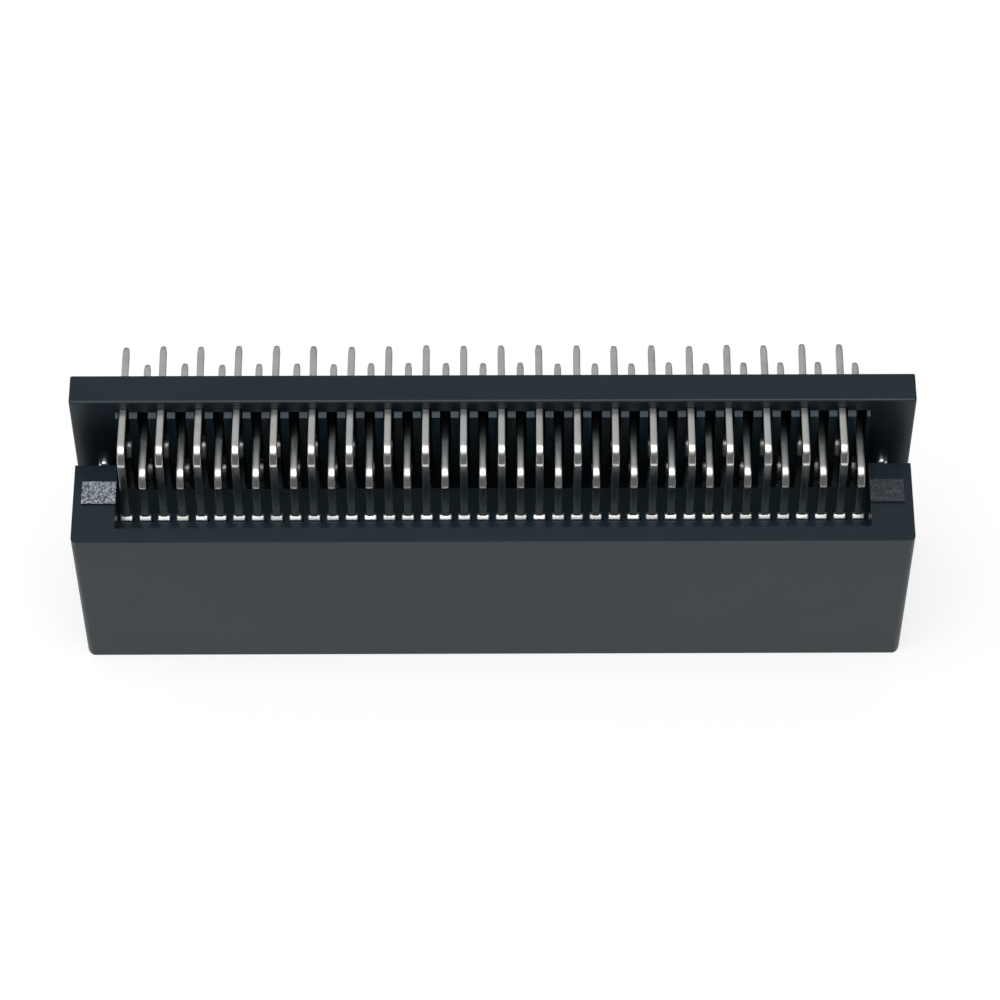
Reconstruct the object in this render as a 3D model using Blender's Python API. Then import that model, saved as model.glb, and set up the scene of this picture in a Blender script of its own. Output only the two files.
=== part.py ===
"""Right-angle card edge connector, 2 x 40 contacts at 1.27 mm, standing on its mouth.

X runs along the rows of contacts. The card goes in from below, so the mouth lies at z = 0. The plain
wall faces -Y and the side that lies on the circuit board faces +Y, where the tails of the contacts
leave through the tail locator. The origin is under the middle of the whole part.
"""

import math

import bmesh
import bpy
from mathutils import Matrix

MM = 0.001

# Contacts
contacts_per_side = 40
pitch = 1.27 * MM
strip_thickness = 0.30 * MM
leg_width = 0.50 * MM
shoulder_width = 0.88 * MM
beam_width = 0.60 * MM
bend_radius = 1.10 * MM
shoulder_rise = 0.25 * MM
pin_taper_length = 0.45 * MM
pin_tip_share = 0.55
contact_fit = 0.04 * MM

# Spring beams
beam_root_drop = 0.20 * MM
nose_reach = 0.30 * MM
nose_height = 2.80 * MM
beam_tip_height = 1.50 * MM
beam_tip_setback = 0.30 * MM

# Tails
tail_row_step = 2.54 * MM
lowest_tail_above_ledge = 1.26 * MM
tail_past_seat = (3.22 * MM, 3.72 * MM, 3.47 * MM, 3.47 * MM)

# Card slot
slot_past_last_contact = 1.335 * MM
slot_opening = 1.80 * MM
slot_roof = 1.10 * MM
lead_in = 0.45 * MM
leg_to_slot_middle = 2.35 * MM

# Housing
plain_wall_height = 13.10 * MM
end_wall = 2.875 * MM
end_taper = 0.28 * MM
plain_wall_to_upper_leg = 3.89 * MM
block_behind_upper_leg = 2.60 * MM
ledge_height = 8.20 * MM
recess_depth = 2.70 * MM
recess_rim = 1.19 * MM
recess_end_gap = 0.15 * MM
pocket_start = 0.90 * MM
pocket_below_slot_top = 0.70 * MM
pocket_wall = 0.27 * MM
pocket_behind_leg = 0.40 * MM
housing_corner_radius = 0.38 * MM
pad_height = 0.15 * MM
pad_end_margin = 0.575 * MM
pad_depth = 1.85 * MM
pad_from_plain_wall = 3.16 * MM

# Tail locator
locator_overhang = 0.18 * MM
locator_end_taper = 0.15 * MM
locator_thickness = 2.29 * MM
locator_web = 0.58 * MM
locator_above_top_tail = 0.97 * MM
locator_edge_radius = 0.12 * MM
locator_seat_gap = 0.05 * MM
channel_side_gap = 0.11 * MM
channel_back_gap = 0.05 * MM
comb_stand_out = 0.42 * MM
comb_below_rim = 1.11 * MM
comb_top_slope = 0.14 * MM
tail_hole_fit = 0.05 * MM
tenon_length = 1.20 * MM
tenon_depth = 0.90 * MM
tenon_drop = 1.20 * MM
tenon_fit = 0.05 * MM
pip_radius = 0.30 * MM
pip_stand_out = 0.50 * MM
pip_nose_radius = 0.18 * MM
pip_root = 0.15 * MM
pip_above_ledge = 3.25 * MM
pip_from_end = 1.98 * MM

# Cutters run past the faces that they open
overrun = 0.50 * MM

# Places along Y, worked out from the plain wall back to the circuit board
upper_leg_depth = plain_wall_to_upper_leg
slot_middle_depth = upper_leg_depth + leg_to_slot_middle
lower_leg_depth = slot_middle_depth + leg_to_slot_middle
channel_back_depth = lower_leg_depth + bend_radius + channel_back_gap
seat_depth = channel_back_depth + locator_web
whole_depth = seat_depth + max(tail_past_seat)
plain_wall_y = -whole_depth / 2
upper_leg_y = plain_wall_y + upper_leg_depth
slot_middle_y = plain_wall_y + slot_middle_depth
lower_leg_y = plain_wall_y + lower_leg_depth
channel_back_y = plain_wall_y + channel_back_depth
seat_y = plain_wall_y + seat_depth
block_back_y = upper_leg_y + block_behind_upper_leg
locator_front_y = seat_y - locator_thickness

# Places along Z
slot_top_z = ledge_height - slot_roof
pocket_top = slot_top_z - pocket_below_slot_top
recess_floor_z = plain_wall_height - recess_depth
tail_z = [
    ledge_height + lowest_tail_above_ledge + (3 - row) * tail_row_step for row in range(4)
]
locator_bottom_z = ledge_height + locator_seat_gap
locator_top_z = tail_z[0] + locator_above_top_tail
comb_top_z = locator_top_z - comb_below_rim

# Places along X
column_x = [
    (index - (contacts_per_side - 1) / 2) * pitch for index in range(contacts_per_side)
]
recess_half_length = column_x[-1] + shoulder_width / 2 + recess_end_gap
slot_half_length = column_x[-1] + slot_past_last_contact
housing_half_length = recess_half_length + end_wall
locator_half_length = housing_half_length + locator_overhang
pocket_width = pitch - pocket_wall
channel_width = leg_width + 2 * channel_side_gap
pad_length = end_wall - pad_end_margin


def fresh_scene():
    """Remove what the scene holds and return the collections for the parts and for the cutters."""
    for old in list(bpy.data.objects):
        bpy.data.objects.remove(old, do_unlink=True)
    made = []
    for name in ("card_edge_connector", "cutters"):
        collection = bpy.data.collections.new(name)
        bpy.context.scene.collection.children.link(collection)
        made.append(collection)
    return made


def principled(name, colour, roughness, metallic):
    material = bpy.data.materials.new(name)
    material.use_nodes = True
    shader = material.node_tree.nodes["Principled BSDF"]
    shader.inputs["Base Color"].default_value = (*colour, 1.0)
    shader.inputs["Roughness"].default_value = roughness
    shader.inputs["Metallic"].default_value = metallic
    return material


def block(bm, low, high):
    """Add a box between two corners."""
    middle = [(a + b) / 2 for a, b in zip(low, high)]
    size = [b - a for a, b in zip(low, high)]
    matrix = Matrix.Translation(middle) @ Matrix.Diagonal((*size, 1.0))
    return bmesh.ops.create_cube(bm, size=1.0, matrix=matrix)["verts"]


def object_from(bm, name, collection, material=None):
    bmesh.ops.recalc_face_normals(bm, faces=bm.faces[:])
    mesh = bpy.data.meshes.new(name)
    bm.to_mesh(mesh)
    bm.free()
    obj = bpy.data.objects.new(name, mesh)
    collection.objects.link(obj)
    if material:
        mesh.materials.append(material)
    return obj


def boolean(target, tool, operation):
    """Cut the tool from the target, or join it on, and keep the tool out of the render."""
    tool.hide_render = True
    tool.display_type = "WIRE"
    modifier = target.modifiers.new(tool.name, "BOOLEAN")
    modifier.operation = operation
    modifier.solver = "EXACT"
    modifier.object = tool


def edges_where(bm, test):
    """The edges whose two end points pass a test together."""
    return [edge for edge in bm.edges if test(edge.verts[0].co, edge.verts[1].co)]


def rounded(bm, edges, radius, segments=2):
    bmesh.ops.bevel(
        bm, geom=edges, offset=radius, segments=segments, profile=0.5, affect="EDGES", material=-1
    )


def extruded(bm, face, keep_old=False):
    """Extrude a face in place and return the new end face. Only an outer cap is kept behind it."""
    made = bmesh.ops.extrude_face_region(bm, geom=[face])["geom"]
    if face.is_valid and not keep_old:
        bmesh.ops.delete(bm, geom=[face], context="FACES_ONLY")
    return next(item for item in made if isinstance(item, bmesh.types.BMFace))


def section_matrix(y, z, tangent, width, thickness):
    """Place a unit square as the strip's section: its X is the width, its Y the thickness."""
    along_y, along_z = tangent
    return Matrix(
        (
            (width, 0.0, 0.0, 0.0),
            (0.0, thickness * -along_z, along_y, y),
            (0.0, thickness * along_y, along_z, z),
            (0.0, 0.0, 0.0, 1.0),
        )
    )


def unit(y, z):
    length = math.hypot(y, z)
    return y / length, z / length


def strip(bm, x, stations):
    """Extrude a rectangular section from station to station, each joint mitred.

    A station is (y, z, width, thickness). Two stations at one place make a step in the width.
    """
    places = [(y, z) for y, z, _, _ in stations]
    matrices = []
    for index, (y, z, width, thickness) in enumerate(stations):
        before = [place for place in places[:index] if place != (y, z)][-1:]
        after = [place for place in places[index:] if place != (y, z)][:1]
        way_in = unit(y - before[0][0], z - before[0][1]) if before else None
        way_out = unit(after[0][0] - y, after[0][1] - z) if after else None
        way_in = way_in or way_out
        way_out = way_out or way_in
        tangent = unit(way_in[0] + way_out[0], way_in[1] + way_out[1])
        stretch = 1 / (tangent[0] * way_in[0] + tangent[1] * way_in[1])
        placed = section_matrix(y, z, tangent, width, thickness * stretch)
        matrices.append(Matrix.Translation((x, 0, 0)) @ placed)
    grid = bmesh.ops.create_grid(bm, x_segments=1, y_segments=1, size=0.5, matrix=matrices[0])
    end = grid["verts"][0].link_faces[0]
    for index, (last, following) in enumerate(zip(matrices, matrices[1:])):
        end = extruded(bm, end, keep_old=index == 0)
        bmesh.ops.transform(bm, matrix=following @ last.inverted(), verts=end.verts[:])


def tail_stations(row, leg_y):
    """The tapered pin, the level tail through the locator and the bend down into the leg."""
    pin_end_y = seat_y + tail_past_seat[row]
    tip = (leg_width * pin_tip_share, strip_thickness * pin_tip_share)
    whole = (leg_width, strip_thickness)
    stations = [
        (pin_end_y, tail_z[row], *tip),
        (pin_end_y - pin_taper_length, tail_z[row], *whole),
    ]
    for degrees in (90, 45, 0):
        turn = math.radians(degrees)
        stations.append(
            (
                leg_y + bend_radius * (1 - math.cos(turn)),
                tail_z[row] - bend_radius * (1 - math.sin(turn)),
                *whole,
            )
        )
    return stations


def beam_stations(leg_y):
    """The spring beam: from its root towards the card, over the nose and back at the tip."""
    towards_card = 1 if leg_y < slot_middle_y else -1
    wall_y = slot_middle_y - towards_card * slot_opening / 2
    nose_y = wall_y + towards_card * (nose_reach - strip_thickness / 2)
    tip_y = wall_y - towards_card * beam_tip_setback
    section = (beam_width, strip_thickness)
    return [
        (leg_y, pocket_top - beam_root_drop, *section),
        (nose_y, nose_height, *section),
        (tip_y, beam_tip_height, *section),
    ]


def upper_contact(column):
    """One upper contact: its shoulders stand on the recess floor and its body fills the passage."""
    bm = bmesh.new()
    shoulder_z = recess_floor_z + shoulder_rise
    body = [
        (upper_leg_y, shoulder_z, leg_width, strip_thickness),
        (upper_leg_y, shoulder_z, shoulder_width, strip_thickness),
        (upper_leg_y, pocket_top, shoulder_width, strip_thickness),
    ]
    stations = tail_stations(column % 2, upper_leg_y) + body + beam_stations(upper_leg_y)
    strip(bm, column_x[column], stations)
    return object_from(bm, f"upper_contact_{column + 1:02d}", parts, tin)


def lower_contacts():
    """All the lower contacts in one mesh, which the housing takes in where it grips them."""
    bm = bmesh.new()
    for column, x in enumerate(column_x):
        strip(bm, x, tail_stations(2 + column % 2, lower_leg_y) + beam_stations(lower_leg_y))
    return object_from(bm, "lower_contacts", cutters)


def housing_body():
    """The moulded block before its hollows: ends that taper to the mouth, and rounded corners."""
    bm = bmesh.new()
    low = (-housing_half_length, plain_wall_y, 0)
    high = (housing_half_length, seat_y, plain_wall_height)
    corners = block(bm, low, high)
    mouth = [corner for corner in corners if corner.co.z < plain_wall_height / 2]
    mouth_share = 1 - end_taper / housing_half_length
    bmesh.ops.scale(bm, vec=(mouth_share, 1, 1), verts=mouth)
    front_uprights = edges_where(
        bm, lambda a, b: max(a.y, b.y) < slot_middle_y and abs(a.z - b.z) > ledge_height
    )
    mouth_ends = edges_where(bm, lambda a, b: max(a.z, b.z) < lead_in and a.y * b.y < 0)
    rounded(bm, front_uprights + mouth_ends, housing_corner_radius, segments=3)
    return object_from(bm, "housing", parts, black_moulding)


def card_slot():
    """The slot with its flared mouth."""
    bm = bmesh.new()
    half_length = slot_half_length
    half_opening = slot_opening / 2
    low = (-half_length, slot_middle_y - half_opening, lead_in)
    high = (half_length, slot_middle_y + half_opening, slot_top_z)
    block(bm, low, high)
    mouth = min(bm.faces, key=lambda face: face.calc_center_median().z)
    flared = (half_length + lead_in) / half_length, (half_opening + lead_in) / half_opening
    for drop, (share_x, share_y) in ((lead_in, flared), (overrun, (1, 1))):
        mouth = extruded(bm, mouth)
        bmesh.ops.translate(bm, vec=(0, 0, -drop), verts=mouth.verts[:])
        about = Matrix.Translation((0, -slot_middle_y, 0))
        bmesh.ops.scale(bm, vec=(share_x, share_y, 1), space=about, verts=mouth.verts[:])
    return object_from(bm, "card_slot", cutters)


def contact_pockets(name, leg_y):
    """A row of chambers, open to the slot, that the spring beams move in."""
    bm = bmesh.new()
    away_from_card = -1 if leg_y < slot_middle_y else 1
    back_y = leg_y + away_from_card * pocket_behind_leg
    near_y, far_y = sorted((back_y, slot_middle_y))
    for x in column_x:
        low = (x - pocket_width / 2, near_y, pocket_start)
        high = (x + pocket_width / 2, far_y, pocket_top)
        block(bm, low, high)
    return object_from(bm, name, cutters)


def upper_passages():
    """The passages that grip the bodies of the upper contacts."""
    bm = bmesh.new()
    half_width = shoulder_width / 2 + contact_fit
    half_depth = strip_thickness / 2 + contact_fit
    for x in column_x:
        low = (x - half_width, upper_leg_y - half_depth, pocket_top - beam_root_drop)
        high = (x + half_width, upper_leg_y + half_depth, recess_floor_z + overrun)
        block(bm, low, high)
    return object_from(bm, "upper_passages", cutters)


def box_cutter(name, low, high):
    bm = bmesh.new()
    block(bm, low, high)
    return object_from(bm, name, cutters)


def tenons(name, fit, below, above):
    """The two tenons under the locator, or with a fit their sockets in the ledge."""
    bm = bmesh.new()
    middle_y = seat_y - locator_thickness / 2
    for side in (-1, 1):
        middle_x = side * (recess_half_length + housing_half_length) / 2
        low = (middle_x - tenon_length / 2 - fit, middle_y - tenon_depth / 2 - fit, below)
        high = (middle_x + tenon_length / 2 + fit, middle_y + tenon_depth / 2 + fit, above)
        block(bm, low, high)
    return object_from(bm, name, cutters)


def frosted_pads():
    """The two raised pads on the tops of the end walls."""
    bm = bmesh.new()
    for side in (-1, 1):
        near_x = side * recess_half_length
        far_x = near_x + side * pad_length
        front_y = plain_wall_y + pad_from_plain_wall
        low = (min(near_x, far_x), front_y, plain_wall_height - overrun)
        high = (max(near_x, far_x), front_y + pad_depth, plain_wall_height + pad_height)
        block(bm, low, high)
    return object_from(bm, "frosted_pads", cutters)


def housing():
    body = housing_body()
    step = box_cutter(
        "step_behind_the_block",
        (-housing_half_length - overrun, block_back_y, ledge_height),
        (housing_half_length + overrun, seat_y + overrun, plain_wall_height + overrun),
    )
    recess = box_cutter(
        "leg_recess",
        (-recess_half_length, plain_wall_y + recess_rim, recess_floor_z),
        (recess_half_length, block_back_y + overrun, plain_wall_height + overrun),
    )
    socket_floor_z = ledge_height - tenon_drop - tenon_fit
    sockets = tenons("tenon_sockets", tenon_fit, socket_floor_z, ledge_height + overrun)
    boolean(body, frosted_pads(), "UNION")
    for cutter in (
        step,
        recess,
        card_slot(),
        contact_pockets("upper_pockets", upper_leg_y),
        contact_pockets("lower_pockets", lower_leg_y),
        upper_passages(),
        sockets,
    ):
        boolean(body, cutter, "DIFFERENCE")
    boolean(body, lower_contacts(), "UNION")
    return body


def locator_plate():
    """The plate before its channels: ends that taper to the ledge, and edges rounded down to it."""
    bm = bmesh.new()
    low = (-locator_half_length, locator_front_y, locator_bottom_z)
    high = (locator_half_length, seat_y, locator_top_z)
    corners = block(bm, low, high)
    foot = [corner for corner in corners if corner.co.z < (locator_bottom_z + locator_top_z) / 2]
    foot_share = 1 - locator_end_taper / locator_half_length
    bmesh.ops.scale(bm, vec=(foot_share, 1, 1), verts=foot)
    above_the_foot = edges_where(bm, lambda a, b: max(a.z, b.z) > locator_bottom_z + comb_stand_out)
    rounded(bm, above_the_foot, locator_edge_radius)
    return object_from(bm, "tail_locator", parts, black_moulding)


def comb_block():
    """The thicker band that the channels turn into a comb. Its top slopes down to the front."""
    bm = bmesh.new()
    low = (-recess_half_length, locator_front_y - comb_stand_out, locator_bottom_z)
    high = (recess_half_length, locator_front_y + comb_stand_out, comb_top_z)
    corners = block(bm, low, high)
    top = [corner for corner in corners if corner.co.z > (locator_bottom_z + comb_top_z) / 2]
    for corner in top:
        rise = math.copysign(comb_top_slope, corner.co.y - locator_front_y)
        bmesh.ops.translate(bm, vec=(0, 0, rise), verts=[corner])
    return object_from(bm, "comb_block", cutters)


def leg_channels():
    bm = bmesh.new()
    front_y = locator_front_y - comb_stand_out - overrun
    for x in column_x:
        low = (x - channel_width / 2, front_y, locator_bottom_z - overrun)
        high = (x + channel_width / 2, channel_back_y, comb_top_z)
        block(bm, low, high)
    return object_from(bm, "leg_channels", cutters)


def tail_holes():
    """One hole for each tail: rows one and three on even columns, two and four on odd ones."""
    bm = bmesh.new()
    half_width = leg_width / 2 + tail_hole_fit
    half_height = strip_thickness / 2 + tail_hole_fit
    for column, x in enumerate(column_x):
        for row in (column % 2, 2 + column % 2):
            low = (x - half_width, locator_front_y - overrun, tail_z[row] - half_height)
            high = (x + half_width, seat_y + overrun, tail_z[row] + half_height)
            block(bm, low, high)
    return object_from(bm, "tail_holes", cutters)


def locating_pips():
    """The small round-nosed pip near each end of the locator's inner face."""
    bm = bmesh.new()
    lying = Matrix.Rotation(math.radians(90), 4, "X")
    for side in (-1, 1):
        x = side * (locator_half_length - pip_from_end)
        z = ledge_height + pip_above_ledge
        middle_y = locator_front_y + (pip_root - pip_stand_out) / 2
        made = bmesh.ops.create_cone(
            bm,
            cap_ends=True,
            segments=10,
            radius1=pip_radius,
            radius2=pip_radius,
            depth=pip_root + pip_stand_out,
            matrix=Matrix.Translation((x, middle_y, z)) @ lying,
        )["verts"]
        nose = [vert for vert in made if vert.co.y < middle_y]
        rim = [edge for edge in bm.edges if all(vert in nose for vert in edge.verts)]
        rounded(bm, rim, pip_nose_radius)
    return object_from(bm, "locating_pips", cutters)


def tail_locator():
    body = locator_plate()
    tenon_foot_z = ledge_height - tenon_drop
    boolean(body, comb_block(), "UNION")
    boolean(body, tenons("tenons", 0, tenon_foot_z, locator_bottom_z + overrun), "UNION")
    boolean(body, locating_pips(), "UNION")
    boolean(body, leg_channels(), "DIFFERENCE")
    boolean(body, tail_holes(), "DIFFERENCE")
    return body


parts, cutters = fresh_scene()
black_moulding = principled("black moulding", (0.030, 0.034, 0.040), 0.55, 0.0)
tin = principled("tin plating", (0.72, 0.72, 0.70), 0.28, 1.0)

housing()
tail_locator()
for column_index in range(contacts_per_side):
    upper_contact(column_index)
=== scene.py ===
# %% [markdown]
# A card edge connector, dressed for its portrait
#
# The part is a right-angle connector for the edge of a circuit card: a black moulded housing with a
# long slot in its underside, two rows of forty sprung contacts inside it, and a locator plate at the
# back that holds the bent tails in place. Everything is small. The contacts stand 1.27 mm apart and
# are only half a millimetre wide, so most of the work below is about edges and reflections.

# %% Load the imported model
import math
import random

import bmesh
import bpy
from mathutils import Matrix, Vector


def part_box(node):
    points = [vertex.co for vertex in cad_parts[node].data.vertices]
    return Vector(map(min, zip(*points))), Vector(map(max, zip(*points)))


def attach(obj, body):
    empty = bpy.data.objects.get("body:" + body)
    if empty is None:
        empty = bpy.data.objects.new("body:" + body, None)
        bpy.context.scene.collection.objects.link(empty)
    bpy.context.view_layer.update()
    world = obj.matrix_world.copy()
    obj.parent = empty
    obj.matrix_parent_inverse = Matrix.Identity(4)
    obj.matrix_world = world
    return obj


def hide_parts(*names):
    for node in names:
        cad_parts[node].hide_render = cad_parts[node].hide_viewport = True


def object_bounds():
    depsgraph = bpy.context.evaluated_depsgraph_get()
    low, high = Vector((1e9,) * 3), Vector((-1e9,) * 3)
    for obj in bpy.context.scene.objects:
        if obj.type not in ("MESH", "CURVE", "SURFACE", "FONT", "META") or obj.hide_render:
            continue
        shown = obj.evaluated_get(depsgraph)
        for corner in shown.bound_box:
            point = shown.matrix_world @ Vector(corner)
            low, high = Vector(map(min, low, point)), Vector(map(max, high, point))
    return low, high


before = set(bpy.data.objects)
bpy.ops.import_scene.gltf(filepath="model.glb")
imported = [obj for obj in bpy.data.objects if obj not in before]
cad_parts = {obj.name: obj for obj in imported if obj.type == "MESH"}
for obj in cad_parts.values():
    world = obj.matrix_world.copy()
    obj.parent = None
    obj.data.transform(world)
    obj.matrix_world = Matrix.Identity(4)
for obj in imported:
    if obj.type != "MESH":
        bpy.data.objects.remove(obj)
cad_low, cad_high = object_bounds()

MM = 0.001
WHITE = (1.0, 1.0, 1.0, 1.0)
scene = bpy.context.scene
size_mm = [(high - low) / MM for low, high in zip(cad_low, cad_high)]
print("connector size in mm:", [round(side, 2) for side in size_mm])

# %% [markdown]
# Reading the sizes back
#
# A piece fits when it is built from the same sizes as its neighbours. Each upper contact's box gives
# its column, the height of its tail, the reach of its pin and the front of its leg, so these are read
# here and not typed in again. What no box can give, such as the thickness of the strip, is a named
# value with the same meaning as on the drawing.

# %% Sizes of the strip and places of the rows
strip_thickness = 0.30 * MM
leg_width = 0.50 * MM
shoulder_width = 0.88 * MM
beam_width = 0.60 * MM
bend_radius = 1.10 * MM
leg_to_slot_middle = 2.35 * MM
slot_opening = 1.80 * MM
nose_reach = 0.30 * MM
nose_height = 2.80 * MM
beam_tip_setback = 0.30 * MM
pocket_top = 6.40 * MM
beam_root = 6.20 * MM
recess_depth = 2.70 * MM
shoulder_rise = 0.25 * MM
tail_row_step = 2.54 * MM
pad_height = 0.15 * MM

upper_names = sorted(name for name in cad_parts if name.startswith("upper_contact"))
upper_boxes = [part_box(name) for name in upper_names]
column_x = [(low.x + high.x) / 2 for low, high in upper_boxes]
upper_leg_y = upper_boxes[0][0].y + strip_thickness / 2
lower_leg_y = upper_leg_y + 2 * leg_to_slot_middle
slot_middle_y = upper_leg_y + leg_to_slot_middle
beam_tip_z = upper_boxes[0][0].z + strip_thickness / 4
housing_low, housing_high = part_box("housing")
locator_low, locator_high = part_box("tail_locator")
seat_y = locator_high.y
plain_wall_height = housing_high.z - pad_height
tail_z = [high.z - strip_thickness / 2 for _, high in upper_boxes[:2]]
tail_z += [z - 2 * tail_row_step for z in tail_z]
pin_y = [high.y for _, high in upper_boxes[:2]]
pin_y += [housing_high.y] * 2
print(len(column_x), "columns, rows of tails at", [round(z / MM, 2) for z in tail_z], "mm")

# %% [markdown]
# The camera
#
# The connector stands on its mouth and the camera looks down on the plain wall from a little over
# fifty degrees, through a long lens. The pitch of the pins in the picture shrinks by about one and a
# half parts in a hundred from the bends to the pin tips, which gives the distance. The lens then
# follows from how wide the wall's top edge appears.

# %% Camera
camera_elevation = math.radians(53.3)
camera_distance = 307.8 * MM
camera_roll = math.radians(-0.17)
edge_pixels_per_mm = 14.984
edge_in_picture = Vector((492.9, 541.7))
picture_size = 1000.0
sensor_width = 36.0

edge_middle = Vector((0.0, housing_low.y, plain_wall_height))
look = Vector((0.0, math.cos(camera_elevation), -math.sin(camera_elevation)))
right = Vector((1.0, 0.0, 0.0))
up = right.cross(look)
metres_per_pixel = MM / edge_pixels_per_mm
off_right = (edge_in_picture.x - picture_size / 2) * metres_per_pixel
off_up = (picture_size / 2 - edge_in_picture.y) * metres_per_pixel
eye = edge_middle - look * camera_distance - right * off_right - up * off_up

camera_data = bpy.data.cameras.new("camera")
camera_data.sensor_width = sensor_width
camera_data.lens = edge_pixels_per_mm / MM * camera_distance / picture_size * sensor_width
camera_data.clip_start = 0.01
camera = bpy.data.objects.new("camera", camera_data)
turned = Matrix((right, up, -look)).transposed()
rolled = Matrix.Rotation(camera_roll, 3, "Z")
camera.matrix_world = Matrix.Translation(eye) @ (turned @ rolled).to_4x4()
scene.collection.objects.link(camera)
scene.camera = camera
print("lens", round(camera_data.lens, 1), "mm")

# %% [markdown]
# Node groups
#
# Three finishes cover the whole part, and each needs more than one flat number. A node group is a
# small set of nodes with named sockets that can be placed in any material. The first makes the fine
# grain of spark-eroded mould steel, which the black plastic copies. The second makes the coarser
# speckle of a frosted face, and the third the faint rolling marks and clouding of tin-plated strip.

# %% Helpers for node trees
FLOAT = "NodeSocketFloat"
COLOUR = "NodeSocketColor"


def add_node(tree, kind, settings=(), **inputs):
    """Add a node, set its properties, and give each input a value or a link.

    An input goes by its name, or by an underscore and its number where names repeat.
    """
    node = tree.nodes.new(kind)
    for key, value in dict(settings).items():
        setattr(node, key, value)
    for key, value in inputs.items():
        socket = node.inputs[int(key[1:])] if key[1:].isdigit() else node.inputs[key.replace("_", " ")]
        if isinstance(value, bpy.types.NodeSocket):
            tree.links.new(value, socket)
        else:
            socket.default_value = value
    return node


def object_place(tree):
    """Coordinates that stay with the piece, in metres."""
    return add_node(tree, "ShaderNodeTexCoord").outputs["Object"]


def stretched(tree, place, scale):
    """Coordinates scaled by a factor of its own along each axis."""
    return add_node(tree, "ShaderNodeMapping", Vector=place, Scale=scale).outputs[0]


def noise(tree, place, scale, detail, roughness=0.5):
    """Smooth noise as a grey value; a larger scale is finer."""
    inputs = {"Vector": place, "Scale": scale, "Detail": detail, "Roughness": roughness}
    return add_node(tree, "ShaderNodeTexNoise", **inputs).outputs["Fac"]


def maths(tree, operation, *values, clamp=False):
    """One step of arithmetic on numbers or sockets."""
    settings = {"operation": operation, "use_clamp": clamp}
    inputs = {f"_{index}": value for index, value in enumerate(values)}
    return add_node(tree, "ShaderNodeMath", settings, **inputs).outputs[0]


def spread(tree, value, from_low, from_high, to_low=0.0, to_high=1.0):
    """One range of values laid over another, and clipped there."""
    inputs = {"Value": value, "From_Min": from_low, "From_Max": from_high}
    inputs.update({"To_Min": to_low, "To_Max": to_high})
    return add_node(tree, "ShaderNodeMapRange", **inputs).outputs[0]


def blend(tree, share, first, second):
    """A mix of two colours by a share from 0 to 1."""
    settings = {"data_type": "RGBA"}
    return add_node(tree, "ShaderNodeMix", settings, _0=share, _6=first, _7=second).outputs[2]


def new_group(name, *colours):
    """Start a group that takes colours and a roughness; returns its tree and its input sockets."""
    tree = bpy.data.node_groups.new(name, "ShaderNodeTree")
    for colour in colours:
        tree.interface.new_socket(colour, in_out="INPUT", socket_type=COLOUR)
    tree.interface.new_socket("Roughness", in_out="INPUT", socket_type=FLOAT)
    for output, kind in (("Colour", COLOUR), ("Roughness", FLOAT), ("Height", FLOAT)):
        tree.interface.new_socket(output, in_out="OUTPUT", socket_type=kind)
    return tree, tree.nodes.new("NodeGroupInput").outputs


def end_group(tree, colour, roughness, height):
    """Link the three values that every finish gives out."""
    add_node(tree, "NodeGroupOutput", Colour=colour, Roughness=roughness, Height=height)
    print("group", tree.name, "has", len(tree.nodes), "nodes")


# %% The grain of the moulding
grain, given = new_group("moulded grain", "Colour", "Paler")
place = object_place(grain)
fine = noise(grain, place, scale=9000.0, detail=3.0, roughness=0.6)
coarse = noise(grain, place, scale=160.0, detail=4.0, roughness=0.55)
flow = stretched(grain, place, (30.0, 240.0, 240.0))
streaks = noise(grain, flow, scale=3.0, detail=3.0)
clouds = maths(grain, "MULTIPLY_ADD", streaks, 0.5, coarse)
cloud_share = spread(grain, clouds, 0.5, 1.0)
colour = blend(grain, cloud_share, given["Colour"], given["Paler"])
rough_shift = spread(grain, clouds, 0.5, 1.0, -0.05, 0.05)
rough = maths(grain, "ADD", given["Roughness"], rough_shift, clamp=True)
end_group(grain, colour, rough, fine)

# %% The speckle of a frosted pad
# The bright speckle is partly the eroded grain and partly painted glints: light that the rough face
# catches, put into its colour.
frosted_speckle, given = new_group("frosted speckle", "Pits", "Peaks")
place = object_place(frosted_speckle)
speckle = noise(frosted_speckle, place, scale=7500.0, detail=2.0)
speckle_share = spread(frosted_speckle, speckle, 0.38, 0.66)
colour = blend(frosted_speckle, speckle_share, given["Pits"], given["Peaks"])
speckle_shift = spread(frosted_speckle, speckle, 0.3, 0.7, 0.0, -0.25)
rough = maths(frosted_speckle, "ADD", given["Roughness"], speckle_shift)
end_group(frosted_speckle, colour, rough, speckle)

# %% The marks of rolled, tin-plated strip
rolled_tin, given = new_group("rolled tin", "Bright", "Dull")
place = object_place(rolled_tin)
along = stretched(rolled_tin, place, (9000.0, 600.0, 600.0))
lines = noise(rolled_tin, along, scale=1.0, detail=2.0)
patches = noise(rolled_tin, place, scale=900.0, detail=3.0)
dull_share = spread(rolled_tin, patches, 0.42, 0.75)
colour = blend(rolled_tin, dull_share, given["Bright"], given["Dull"])
rough = maths(rolled_tin, "MULTIPLY_ADD", dull_share, 0.12, given["Roughness"], clamp=True)
end_group(rolled_tin, colour, rough, lines)
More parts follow.
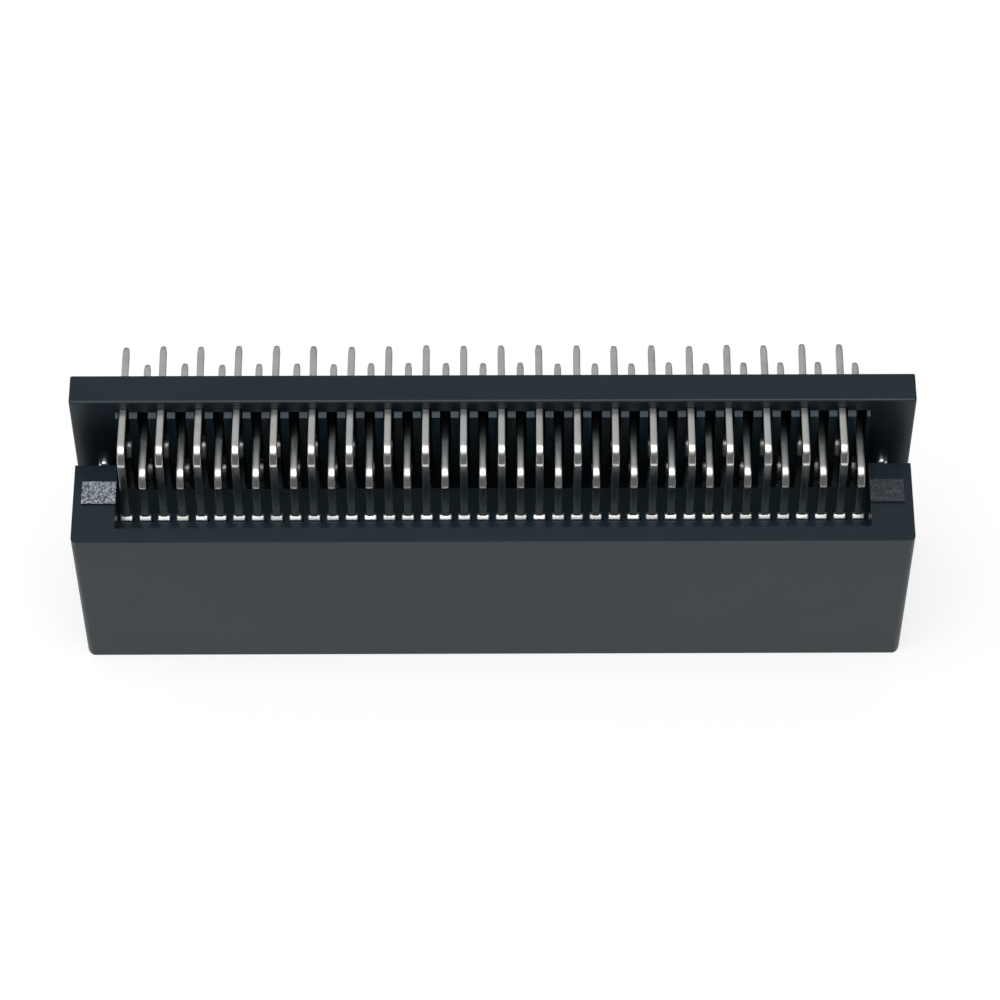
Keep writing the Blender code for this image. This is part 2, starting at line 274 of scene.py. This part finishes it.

# %% [markdown]
# Materials
#
# The shader stays in the material and the group feeds it. Bump depths are real lengths: the
# moulding's grain is a few thousandths of a millimetre deep, the tin's lines are shallower still, and
# the frosted pads are the deepest. Black plastic takes most of its brightness from its sheen, so a
# cold tint there, and not only in the base colour, makes the plain wall blue grey. The cold tint of
# the sheen is painted light: it stands in for the cold surroundings that the plain wall mirrors.

# %% Materials
def finish(name, group, bump_depth, metallic, sheen=WHITE, **inputs):
    """A Principled material whose colour, roughness and bump come from a node group."""
    material = bpy.data.materials.new(name)
    material.use_nodes = True
    tree = material.node_tree
    shader = tree.nodes["Principled BSDF"]
    source = add_node(tree, "ShaderNodeGroup", {"node_tree": group}, **inputs).outputs
    bump = add_node(tree, "ShaderNodeBump", Distance=bump_depth, Height=source["Height"])
    tree.links.new(source["Colour"], shader.inputs["Base Color"])
    tree.links.new(source["Roughness"], shader.inputs["Roughness"])
    tree.links.new(bump.outputs["Normal"], shader.inputs["Normal"])
    shader.inputs["Metallic"].default_value = metallic
    shader.inputs["Specular Tint"].default_value = sheen
    print("material", name)
    return material


black_moulding = finish(
    "black moulding",
    grain,
    bump_depth=0.004 * MM,
    metallic=0.0,
    # The cold tint of the sheen is painted light: it stands in for the cold surroundings that the plastic
    # mirrors.
    sheen=(0.78, 0.91, 1.0, 1.0),
    Colour=(0.0060, 0.0140, 0.0205, 1.0),
    Paler=(0.0090, 0.0180, 0.0255, 1.0),
    Roughness=0.34,
)
# Two copies of one frosted finish for the two pads: a paler one that is painted light, and a darker one
# that is painted shade.
frosted_painted_light = finish(
    "frosted moulding painted light",
    frosted_speckle,
    bump_depth=0.015 * MM,
    metallic=0.0,
    Pits=(0.055, 0.062, 0.078, 1.0),
    Peaks=(0.52, 0.57, 0.66, 1.0),
    Roughness=0.75,
)
frosted_painted_shade = finish(
    "frosted moulding painted shade",
    frosted_speckle,
    bump_depth=0.008 * MM,
    metallic=0.0,
    Pits=(0.016, 0.022, 0.030, 1.0),
    Peaks=(0.066, 0.077, 0.096, 1.0),
    Roughness=0.75,
)
tin = finish(
    "tin plating",
    rolled_tin,
    bump_depth=0.002 * MM,
    metallic=1.0,
    Bright=(0.74, 0.74, 0.73, 1.0),
    Dull=(0.58, 0.58, 0.57, 1.0),
    Roughness=0.28,
)

# %% [markdown]
# Floor, backdrop and light
#
# The picture is of a small black thing on a white table. The table matters twice: it is what the
# camera sees round the part, and it is what the plain wall mirrors. Its own colour is a grey that
# takes the part's shadow, and a lift for what the camera, the tin and the plastic see makes it white.
# It lies a hair below the mouth, so that the two faces never fight for the same place.
#
# Bent tin shows its lamps as a map. The glint at the top of each bend is one compact lamp overhead,
# the even grey of the level tails is a dim panel behind, and the dark under the glint is the room in
# front, which is why the world is nearly black.

# %% Helpers for new pieces
crease_angle = math.radians(50)


def to_object(bm, name, material):
    """Put a finished bmesh into the scene as a piece of one material."""
    mesh = bpy.data.meshes.new(name)
    bm.to_mesh(mesh)
    bm.free()
    mesh.materials.append(material)
    piece = bpy.data.objects.new(name, mesh)
    scene.collection.objects.link(piece)
    return piece


def shade_soft(piece):
    """Shade a piece smooth, apart from its creases."""
    piece.data.shade_smooth()
    piece.data.set_sharp_from_angle(angle=crease_angle)


# %% Floor
floor_size = 6.0
floor_drop = 0.02 * MM
table_grey = (0.38, 0.38, 0.38, 1.0)
table_roughness = 0.9
white_lift = 0.74

white_table = bpy.data.materials.new("white table")
white_table.use_nodes = True
tree = white_table.node_tree
shader = tree.nodes["Principled BSDF"]
shader.inputs["Base Color"].default_value = table_grey
shader.inputs["Roughness"].default_value = table_roughness
shader.inputs["Specular IOR Level"].default_value = 0.0
ray = tree.nodes.new("ShaderNodeLightPath").outputs
seen = maths(tree, "ADD", ray["Is Camera Ray"], ray["Is Glossy Ray"])
seen = maths(tree, "ADD", seen, ray["Is Transmission Ray"], clamp=True)
strength = maths(tree, "MULTIPLY", seen, white_lift)
lift = add_node(tree, "ShaderNodeEmission", Color=WHITE, Strength=strength)
summed = add_node(tree, "ShaderNodeAddShader", _0=shader.outputs[0], _1=lift.outputs[0])
tree.links.new(summed.outputs[0], tree.nodes["Material Output"].inputs["Surface"])

bm = bmesh.new()
bmesh.ops.create_grid(bm, x_segments=1, y_segments=1, size=floor_size / 2)
for vertex in bm.verts:
    vertex.co.z = -floor_drop
floor = to_object(bm, "floor", white_table)
print("floor", floor_size, "m wide")

# %% World and lamps
room_level = 0.09
world = bpy.data.worlds.new("room")
world.use_nodes = True
background = world.node_tree.nodes["Background"]
background.inputs["Color"].default_value = WHITE
background.inputs["Strength"].default_value = room_level
scene.world = world


def soft_lamp(name, place, aim, width, depth, radiance):
    """A rectangular lamp of a given brightness, aimed at a point."""
    data = bpy.data.lights.new(name, "AREA")
    data.shape = "RECTANGLE"
    data.size = width
    data.size_y = depth
    data.energy = radiance * math.pi * width * depth
    lamp = bpy.data.objects.new(name, data)
    lamp.location = place
    lamp.rotation_euler = (Vector(aim) - Vector(place)).to_track_quat("-Z", "Y").to_euler()
    scene.collection.objects.link(lamp)
    print("lamp", name, round(data.energy, 2), "W")


soft_lamp(
    "overhead",
    place=(-0.06, -0.13, 0.55),
    aim=(-0.06, -0.13, 0.0),
    width=0.70,
    depth=0.46,
    radiance=2.5,
)
soft_lamp(
    "back panel",
    place=(-0.25, 0.59, 0.68),
    aim=(0.0, 0.0, 0.0),
    width=1.6,
    depth=1.0,
    radiance=0.40,
)
scene.view_settings.view_transform = "Standard"

# %% [markdown]
# Swept strip
#
# A contact is stamped flat and then bent, so it is the same thin section all along a path. The path
# lies in one upright plane. It is given as corners with a bend radius each, and a function turns the
# corners into stations along arcs. The section starts as a square grid face whose corners are
# bevelled, because tin-plated strip has soft edges that catch a line of light, and is then extruded
# from station to station.

# %% Stations along a path with rounded corners
def unit(y, z):
    """A direction in the upright plane, made one long."""
    length = math.hypot(y, z)
    return y / length, z / length


def bent_path(corners, segments=7):
    """Points along a path of (y, z, radius) corners, with an arc at each corner that has a radius."""
    points = []
    for index, (y, z, radius) in enumerate(corners):
        if not radius:
            points.append((y, z))
            continue
        back = unit(corners[index - 1][0] - y, corners[index - 1][1] - z)
        ahead = unit(corners[index + 1][0] - y, corners[index + 1][1] - z)
        half = math.acos(max(-1.0, min(1.0, back[0] * ahead[0] + back[1] * ahead[1]))) / 2
        run = radius / math.tan(half)
        middle = unit(back[0] + ahead[0], back[1] + ahead[1])
        reach = radius / math.sin(half)
        centre = (y + middle[0] * reach, z + middle[1] * reach)
        start = math.atan2(z + back[1] * run - centre[1], y + back[0] * run - centre[0])
        end = math.atan2(z + ahead[1] * run - centre[1], y + ahead[0] * run - centre[0])
        sweep = (end - start + math.pi) % (2 * math.pi) - math.pi
        for step in range(segments + 1):
            angle = start + sweep * step / segments
            points.append((centre[0] + radius * math.cos(angle), centre[1] + radius * math.sin(angle)))
    return points


# %% The sweep itself
edge_softness = 0.06 * MM


def station_matrix(x, y, z, tangent, wide, thick):
    """Carries the flat section to a place on the path, square to it and scaled."""
    along_y, along_z = tangent
    return Matrix(
        (
            (wide, 0.0, 0.0, x),
            (0.0, thick * -along_z, along_y, y),
            (0.0, thick * along_y, along_z, z),
            (0.0, 0.0, 0.0, 1.0),
        )
    )


def station_matrices(stations):
    """A matrix for each station; the section is stretched where the path turns there."""
    places = [station[1:3] for station in stations]
    matrices = []
    for index, (x, y, z, width, thickness) in enumerate(stations):
        before = [other for other in places[:index] if other != (y, z)][-1:]
        after = [other for other in places[index:] if other != (y, z)][:1]
        way_in = unit(y - before[0][0], z - before[0][1]) if before else None
        way_out = unit(after[0][0] - y, after[0][1] - z) if after else None
        way_in = way_in or way_out
        way_out = way_out or way_in
        tangent = unit(way_in[0] + way_out[0], way_in[1] + way_out[1])
        stretch = 1 / (tangent[0] * way_in[0] + tangent[1] * way_in[1])
        wide, thick = width / leg_width, stretch * thickness / strip_thickness
        matrices.append(station_matrix(x, y, z, tangent, wide, thick))
    return matrices


def swept_strip(name, stations):
    """Extrude a softened rectangle through stations of (x, y, z, width, thickness)."""
    matrices = station_matrices(stations)
    bm = bmesh.new()
    bmesh.ops.create_grid(bm, x_segments=1, y_segments=1, size=0.5)
    bmesh.ops.scale(bm, vec=(leg_width, strip_thickness, 1.0), verts=bm.verts[:])
    bmesh.ops.bevel(
        bm,
        geom=bm.verts[:],
        offset=edge_softness,
        segments=2,
        profile=0.5,
        affect="VERTICES",
        material=-1,
    )
    bmesh.ops.transform(bm, matrix=matrices[0], verts=bm.verts[:])
    end = bm.faces[:][0]
    for index, (last, following) in enumerate(zip(matrices, matrices[1:])):
        made = bmesh.ops.extrude_face_region(bm, geom=[end])["geom"]
        # The first face closes the tip. Each later one would be left inside the strip as a wall.
        if end.is_valid and index > 0:
            bmesh.ops.delete(bm, geom=[end], context="FACES_ONLY")
        end = next(item for item in made if isinstance(item, bmesh.types.BMFace))
        bmesh.ops.transform(bm, matrix=following @ last.inverted(), verts=end.verts[:])
    bmesh.ops.recalc_face_normals(bm, faces=bm.faces[:])
    piece = to_object(bm, name, tin)
    shade_soft(piece)
    return piece


# %% [markdown]
# The contacts
#
# All eighty strips come from one sweep. The four rows of tails stand at four heights. Each pin ends a
# shade short of its full reach and leans a little, as hand-sorted stampings do, and its tip is coined
# to a blunt point. The bend is struck twice: a wide bend turns the tail most of the way down, and a
# tight one sets it upright, with a short flat between them that mirrors the dark room.
#
# An upper contact steps forward to a wider body just above the floor of the recess. The step has a
# rounded crest, and the row of crests is the line of small bright bars across the recess. One crest
# stands a hundredth of a millimetre higher or lower than the next, which is enough to move its glint.

# %% One contact
tip_sections = ((0.0, 0.50), (0.12 * MM, 0.80), (0.50 * MM, 1.0))
pin_sway = 0.035
pin_shortfall = 0.10
pin_lift = 0.03
first_turn = math.radians(54)
first_bend = 1.00 * MM
second_bend = 0.35 * MM
beam_top = beam_root + 0.6 * MM
root_bend = 0.9 * MM
nose_bend = 0.45 * MM
nose_corner = 0.05 * MM
hand_bent = random.Random(40)


def tail_and_bend(x, row, leg_y, leg_foot_z):
    """From the pin's tip, along the level tail, round the bend and down the leg to its foot."""
    sway = hand_bent.uniform(-pin_sway, pin_sway) * MM
    tip_y = pin_y[row] - hand_bent.uniform(0.0, pin_shortfall) * MM
    lift = hand_bent.uniform(-pin_lift, pin_lift) * MM
    out = []
    for back, share in tip_sections:
        reach = (tip_y - back - seat_y) / (tip_y - seat_y)
        section = (leg_width * share, strip_thickness * share)
        out.append((x + sway * reach, tip_y - back, tail_z[row] + lift * reach, *section))
    out.append((x, seat_y, tail_z[row], leg_width, strip_thickness))
    across = bend_radius - first_bend * math.tan(first_turn / 2)
    corners = [
        (seat_y, tail_z[row], 0.0),
        (leg_y + across, tail_z[row], first_bend),
        (leg_y, tail_z[row] - across * math.tan(first_turn), second_bend),
        (leg_y, leg_foot_z, 0.0),
    ]
    for y, z in bent_path(corners, segments=6)[1:]:
        out.append((x, y, z, leg_width, strip_thickness))
    return out


def spring_beam(x, leg_y):
    """From the root above the chamber, over the rounded nose to the tip."""
    towards_card = 1 if leg_y < slot_middle_y else -1
    wall_y = slot_middle_y - towards_card * slot_opening / 2
    nose_y = wall_y + towards_card * (nose_reach - strip_thickness / 2)
    tip_y = wall_y - towards_card * beam_tip_setback
    corners = [
        (leg_y, beam_top, 0.0),
        (leg_y, beam_root, root_bend),
        (nose_y + towards_card * nose_corner, nose_height, nose_bend),
        (tip_y, beam_tip_z, 0.0),
    ]
    return [(x, y, z, beam_width, strip_thickness) for y, z in bent_path(corners)[1:]]


# %% The shoulder of an upper contact
shoulder_z = plain_wall_height - recess_depth + shoulder_rise
leg_foot_z = shoulder_z + 0.40 * MM
step_top_z = shoulder_z - 0.05 * MM
crest_foot_z = shoulder_z - 0.38 * MM
body_top_z = shoulder_z - 0.60 * MM
body_foot_z = pocket_top + 0.6 * MM
leg_set_back = 0.20 * MM
shoulder_crest = 0.07 * MM
shoulder_drop = 0.170 * MM
crest_play = 0.012
hand_struck = random.Random(7)


def shoulders(x):
    """The step forward from the leg to the wider body: it is as broad as the body and rounded."""
    set_back_y = upper_leg_y + leg_set_back
    crest_y = upper_leg_y - shoulder_crest
    crest_z = step_top_z - shoulder_drop + hand_struck.uniform(-crest_play, crest_play) * MM
    corners = [
        (set_back_y, leg_foot_z, 0.0),
        (set_back_y, step_top_z, 0.04 * MM),
        (crest_y, crest_z, 0.06 * MM),
        (crest_y, crest_foot_z, 0.04 * MM),
        (upper_leg_y, body_top_z, 0.08 * MM),
        (upper_leg_y, body_foot_z, 0.0),
    ]
    path = bent_path(corners, segments=3)[1:]
    out = [(x, *path[0], leg_width, strip_thickness)]
    out += [(x, *point, shoulder_width, strip_thickness) for point in path]
    return out


print("shoulders at", round(shoulder_z / MM, 2), "mm")

# %% All eighty of them
# The whole row sits a shade to the left in its housing.
row_play = -0.04 * MM

for column, x in enumerate(column_x):
    x += row_play
    stations = tail_and_bend(x, column % 2, upper_leg_y + leg_set_back, leg_foot_z)
    stations += shoulders(x) + spring_beam(x, upper_leg_y)
    upper = swept_strip(f"upper_strip_{column + 1:02d}", stations)
    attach(upper, "root")
    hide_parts(upper_names[column])
for column, x in enumerate(column_x):
    x += row_play
    stations = tail_and_bend(x, 2 + column % 2, lower_leg_y, beam_top)
    stations += spring_beam(x, lower_leg_y)
    lower = swept_strip(f"lower_strip_{column + 1:02d}", stations)
    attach(lower, "root")
print("triangles in one contact:", sum(len(face.vertices) - 2 for face in lower.data.polygons))

# %% [markdown]
# The mouldings
#
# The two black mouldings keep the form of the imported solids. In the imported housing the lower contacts
# are one solid with it, so its copy here loses those faces and gets flat lids where they were, and
# the swept strips above take their place. Both copies then get a narrow bevel, because no moulded
# edge is perfectly sharp.

# %% Copies with soft edges
moulded_edge = 0.03 * MM
contact_zone = 0.33 * MM


def is_strip(face):
    """True where every corner of a face lies close to the middle plane of one column of contacts."""
    columns = set()
    for vert in face.verts:
        nearest = min(range(len(column_x)), key=lambda column: abs(column_x[column] - vert.co.x))
        if abs(column_x[nearest] - vert.co.x) > contact_zone:
            return False
        columns.add(nearest)
    return len(columns) == 1


def clean_copy(node, name, without_contacts):
    """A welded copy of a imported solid, its flat faces rejoined, with a narrow bevel."""
    bm = bmesh.new()
    bm.from_mesh(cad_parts[node].data)
    bmesh.ops.remove_doubles(bm, verts=bm.verts[:], dist=0.0005 * MM)
    if without_contacts:
        strip_faces = [face for face in bm.faces if is_strip(face)]
        bmesh.ops.delete(bm, geom=strip_faces, context="FACES")
        open_edges = [edge for edge in bm.edges if edge.is_boundary]
        bmesh.ops.holes_fill(bm, edges=open_edges, sides=8)
    nearly_flat = math.radians(0.5)
    bmesh.ops.dissolve_limit(bm, angle_limit=nearly_flat, verts=bm.verts[:], edges=bm.edges[:])
    piece = to_object(bm, name, black_moulding)
    soften = piece.modifiers.new("moulded edges", "BEVEL")
    soften.width = moulded_edge
    soften.segments = 2
    soften.limit_method = "ANGLE"
    soften.angle_limit = math.radians(35)
    return piece


housing = clean_copy("housing", "housing_moulding", True)
locator = clean_copy("tail_locator", "locator_moulding", False)
for piece, node in ((housing, "housing"), (locator, "tail_locator")):
    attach(piece, "root")
    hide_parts(node)
    print(piece.name, len(piece.data.polygons), "faces")

# %% [markdown]
# The frosted pads
#
# The flat pad on top of each end wall was eroded rough in the mould, so it scatters light where the
# faces round it shine. It is the same piece of plastic, so it is not a new object: its top face gets
# another material. The left pad gets a paler copy of that material than the right one: painted light
# for the light that falls more on the left pad, and painted shade on the right.

# %% Another material on the two pads
for material in (frosted_painted_light, frosted_painted_shade):
    housing.data.materials.append(material)
for face in housing.data.polygons:
    if face.normal.z > 0.9 and face.center.z > housing_high.z - pad_height / 3:
        # The left pad takes the painted-light copy and the right pad the painted-shade copy.
        face.material_index = 1 if face.center.x < 0 else 2
        print("pad of", round(face.area / MM**2, 2), "mm2")

# %% [markdown]
# The locating pins
#
# Near each end of the locator a short round-nosed pin stands out of the face that looks at the legs.
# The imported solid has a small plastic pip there. The pin is metal and a little larger, so that it
# takes in the whole pip, and its nose gives the small bright dot at either end of the row. A capped
# cylinder with its rim bevelled in six steps makes the nose.

# %% Two pins
pin_radius = 0.40 * MM
pin_nose = 0.9 * pin_radius
pin_length = 0.70 * MM
pin_from_middle = 26.43 * MM
pin_z = locator_low.z + 4.45 * MM
pin_front_y = locator_low.y - 0.04 * MM
lying = Matrix.Rotation(math.radians(90), 4, "X")
for side, side_name in ((-1, "left"), (1, "right")):
    bm = bmesh.new()
    centre = (side * pin_from_middle, pin_front_y + pin_length / 2, pin_z)
    made = bmesh.ops.create_cone(
        bm,
        cap_ends=True,
        segments=24,
        radius1=pin_radius,
        radius2=pin_radius,
        depth=pin_length,
        matrix=Matrix.Translation(centre) @ lying,
    )["verts"]
    front = {vert for vert in made if vert.co.y < centre[1]}
    rim = [edge for edge in bm.edges if all(vert in front for vert in edge.verts)]
    bmesh.ops.bevel(
        bm,
        geom=rim,
        offset=pin_nose,
        segments=6,
        profile=0.5,
        affect="EDGES",
        material=-1,
    )
    pin = to_object(bm, f"locating_pin_{side_name}", tin)
    shade_soft(pin)
    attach(pin, "root")
print("pins at", round(pin_z / MM, 2), "mm")
